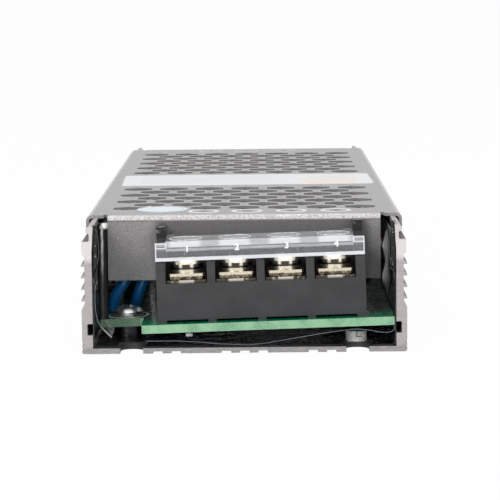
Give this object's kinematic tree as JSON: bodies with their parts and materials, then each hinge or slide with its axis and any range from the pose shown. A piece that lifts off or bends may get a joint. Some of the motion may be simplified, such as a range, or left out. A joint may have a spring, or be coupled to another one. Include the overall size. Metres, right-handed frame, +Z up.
{
  "type": "mesh case switching power supply",
  "caption": "Slim switching power supply: finned aluminium base, hexagonal mesh cover and screw terminals with hinged clear lids at both ends.",
  "frame": {"origin": "middle of the underside", "axes": "+Z up from the underside, +Y from the output terminals to the input terminals, +X to the right seen from the output end"},
  "size_m": [0.062, 0.194, 0.0251],
  "materials": {
    "extrusion": "satin, as extruded",
    "cover_paint": "fine textured grey metallic powder coat",
    "label": "satin white label with a pale orange field",
    "sticker": "satin pale blue-white",
    "liner": "glossy black insulating sheet",
    "film": "clear glossy film",
    "board": "green solder mask with a pale green cut edge",
    "standoff": "dark plated",
    "post": "bright plated",
    "board_screw": "bright zinc plate",
    "block": "moulded charcoal",
    "terminal_plate": "nickel plate",
    "lid": "clear moulded plastic with white numerals",
    "washer": "nickel plate, knurled face",
    "terminal_screw": "warm nickel plate",
    "wire": "glossy blue insulation",
    "ferrite": "matt sintered",
    "bobbin": "moulded black",
    "tape": "yellow polyester tape",
    "can": "shrink sleeve with a bare aluminium top",
    "copper": "enamelled copper wire",
    "powder_core": "painted powder core",
    "film_capacitor": "yellow potted box",
    "disc": "dipped blue resin",
    "black_resin": "moulded black resin",
    "fuse_tube": "ceramic tube",
    "thermistor": "dark green resin",
    "bracket": "mill finish",
    "clip": "spring steel",
    "opto": "white moulded resin"
  },
  "bodies": {
    "root": {"base_extrusion": "extrusion", "top_cover": "cover_paint", "rating_label": "label", "round_sticker": "sticker", "insulation_liner": "liner", "clear_film": "film", "main_board": "board", "board_standoffs": "standoff", "floor_posts": "post", "board_screws": "board_screw", "output_terminal_block": "block", "output_terminal_plates": "terminal_plate", "input_terminal_block": "block", "input_terminal_plates": "terminal_plate", "blue_wires": "wire", "transformer_core": "ferrite", "transformer_bobbin": "bobbin", "transformer_winding": "tape", "boost_inductor_core": "ferrite", "boost_inductor_winding": "tape", "bulk_capacitors": "can", "output_capacitors": "can", "choke_core": "ferrite", "choke_windings": "copper", "output_inductor_core": "powder_core", "output_inductor_winding": "copper", "filter_capacitor": "film_capacitor", "safety_capacitors": "disc", "bridge_rectifier": "black_resin", "fuse": "fuse_tube", "inrush_thermistor": "thermistor", "surge_varistor": "disc", "power_transistors": "black_resin", "heat_brackets": "bracket", "transistor_clips": "clip", "control_board": "board", "control_chips": "black_resin", "optocouplers": "opto"},
    "output_lid": {"output_lid": "lid"},
    "input_lid": {"input_lid": "lid"},
    "output_washer_1": {"output_washer_1": "washer"},
    "output_screw_1": {"output_screw_1": "terminal_screw"},
    "output_washer_2": {"output_washer_2": "washer"},
    "output_screw_2": {"output_screw_2": "terminal_screw"},
    "output_washer_3": {"output_washer_3": "washer"},
    "output_screw_3": {"output_screw_3": "terminal_screw"},
    "output_washer_4": {"output_washer_4": "washer"},
    "output_screw_4": {"output_screw_4": "terminal_screw"},
    "input_washer_1": {"input_washer_1": "washer"},
    "input_screw_1": {"input_screw_1": "terminal_screw"},
    "input_washer_2": {"input_washer_2": "washer"},
    "input_screw_2": {"input_screw_2": "terminal_screw"},
    "input_washer_3": {"input_washer_3": "washer"},
    "input_screw_3": {"input_screw_3": "terminal_screw"}
  },
  "joints": [
    {"name": "output_lid_hinge", "type": "hinge", "parent": "root", "child": "output_lid", "pos_m": [0.00301, -0.085, 0.02073], "axis": [-0.9996, 0, -0.0279], "range_deg": [0, 90]},
    {"name": "input_lid_hinge", "type": "hinge", "parent": "root", "child": "input_lid", "pos_m": [-0.00046, 0.085, 0.02063], "axis": [0.9996, 0, 0.0279], "range_deg": [0, 90]},
    {"name": "output_washer_1_lift", "type": "slide", "parent": "root", "child": "output_washer_1", "axis": [-0.0279, 0, 0.9996], "range_m": [0, 0.0021]},
    {"name": "output_screw_1_turn", "type": "hinge", "parent": "output_washer_1", "child": "output_screw_1", "pos_m": [-0.01111, -0.0898, 0.01563], "axis": [-0.0279, 0, 0.9996], "range_deg": [0, 1260]},
    {"name": "output_washer_2_lift", "type": "slide", "parent": "root", "child": "output_washer_2", "axis": [-0.0279, 0, 0.9996], "range_m": [0, 0.0021]},
    {"name": "output_screw_2_turn", "type": "hinge", "parent": "output_washer_2", "child": "output_screw_2", "pos_m": [-0.00161, -0.0898, 0.0159], "axis": [-0.0279, 0, 0.9996], "range_deg": [0, 1260]},
    {"name": "output_washer_3_lift", "type": "slide", "parent": "root", "child": "output_washer_3", "axis": [-0.0279, 0, 0.9996], "range_m": [0, 0.0021]},
    {"name": "output_screw_3_turn", "type": "hinge", "parent": "output_washer_3", "child": "output_screw_3", "pos_m": [0.00789, -0.0898, 0.01616], "axis": [-0.0279, 0, 0.9996], "range_deg": [0, 1260]},
    {"name": "output_washer_4_lift", "type": "slide", "parent": "root", "child": "output_washer_4", "axis": [-0.0279, 0, 0.9996], "range_m": [0, 0.0021]},
    {"name": "output_screw_4_turn", "type": "hinge", "parent": "output_washer_4", "child": "output_screw_4", "pos_m": [0.01738, -0.0898, 0.01643], "axis": [-0.0279, 0, 0.9996], "range_deg": [0, 1260]},
    {"name": "input_washer_1_lift", "type": "slide", "parent": "root", "child": "input_washer_1", "axis": [-0.0279, 0, 0.9996], "range_m": [0, 0.0021]},
    {"name": "input_screw_1_turn", "type": "hinge", "parent": "input_washer_1", "child": "input_screw_1", "pos_m": [0.00916, 0.0898, 0.0162], "axis": [-0.0279, 0, 0.9996], "range_deg": [0, 1260]},
    {"name": "input_washer_2_lift", "type": "slide", "parent": "root", "child": "input_washer_2", "axis": [-0.0279, 0, 0.9996], "range_m": [0, 0.0021]},
    {"name": "input_screw_2_turn", "type": "hinge", "parent": "input_washer_2", "child": "input_screw_2", "pos_m": [-0.00033, 0.0898, 0.01594], "axis": [-0.0279, 0, 0.9996], "range_deg": [0, 1260]},
    {"name": "input_washer_3_lift", "type": "slide", "parent": "root", "child": "input_washer_3", "axis": [-0.0279, 0, 0.9996], "range_m": [0, 0.0021]},
    {"name": "input_screw_3_turn", "type": "hinge", "parent": "input_washer_3", "child": "input_screw_3", "pos_m": [-0.00983, 0.0898, 0.01567], "axis": [-0.0279, 0, 0.9996], "range_deg": [0, 1260]}
  ],
  "couplings": [
    {"joint": "output_screw_1_turn", "follows": "output_washer_1_lift", "rad_per_m": 10472},
    {"joint": "output_screw_2_turn", "follows": "output_washer_2_lift", "rad_per_m": 10472},
    {"joint": "output_screw_3_turn", "follows": "output_washer_3_lift", "rad_per_m": 10472},
    {"joint": "output_screw_4_turn", "follows": "output_washer_4_lift", "rad_per_m": 10472},
    {"joint": "input_screw_1_turn", "follows": "input_washer_1_lift", "rad_per_m": 10472},
    {"joint": "input_screw_2_turn", "follows": "input_washer_2_lift", "rad_per_m": 10472},
    {"joint": "input_screw_3_turn", "follows": "input_washer_3_lift", "rad_per_m": 10472}
  ]
}
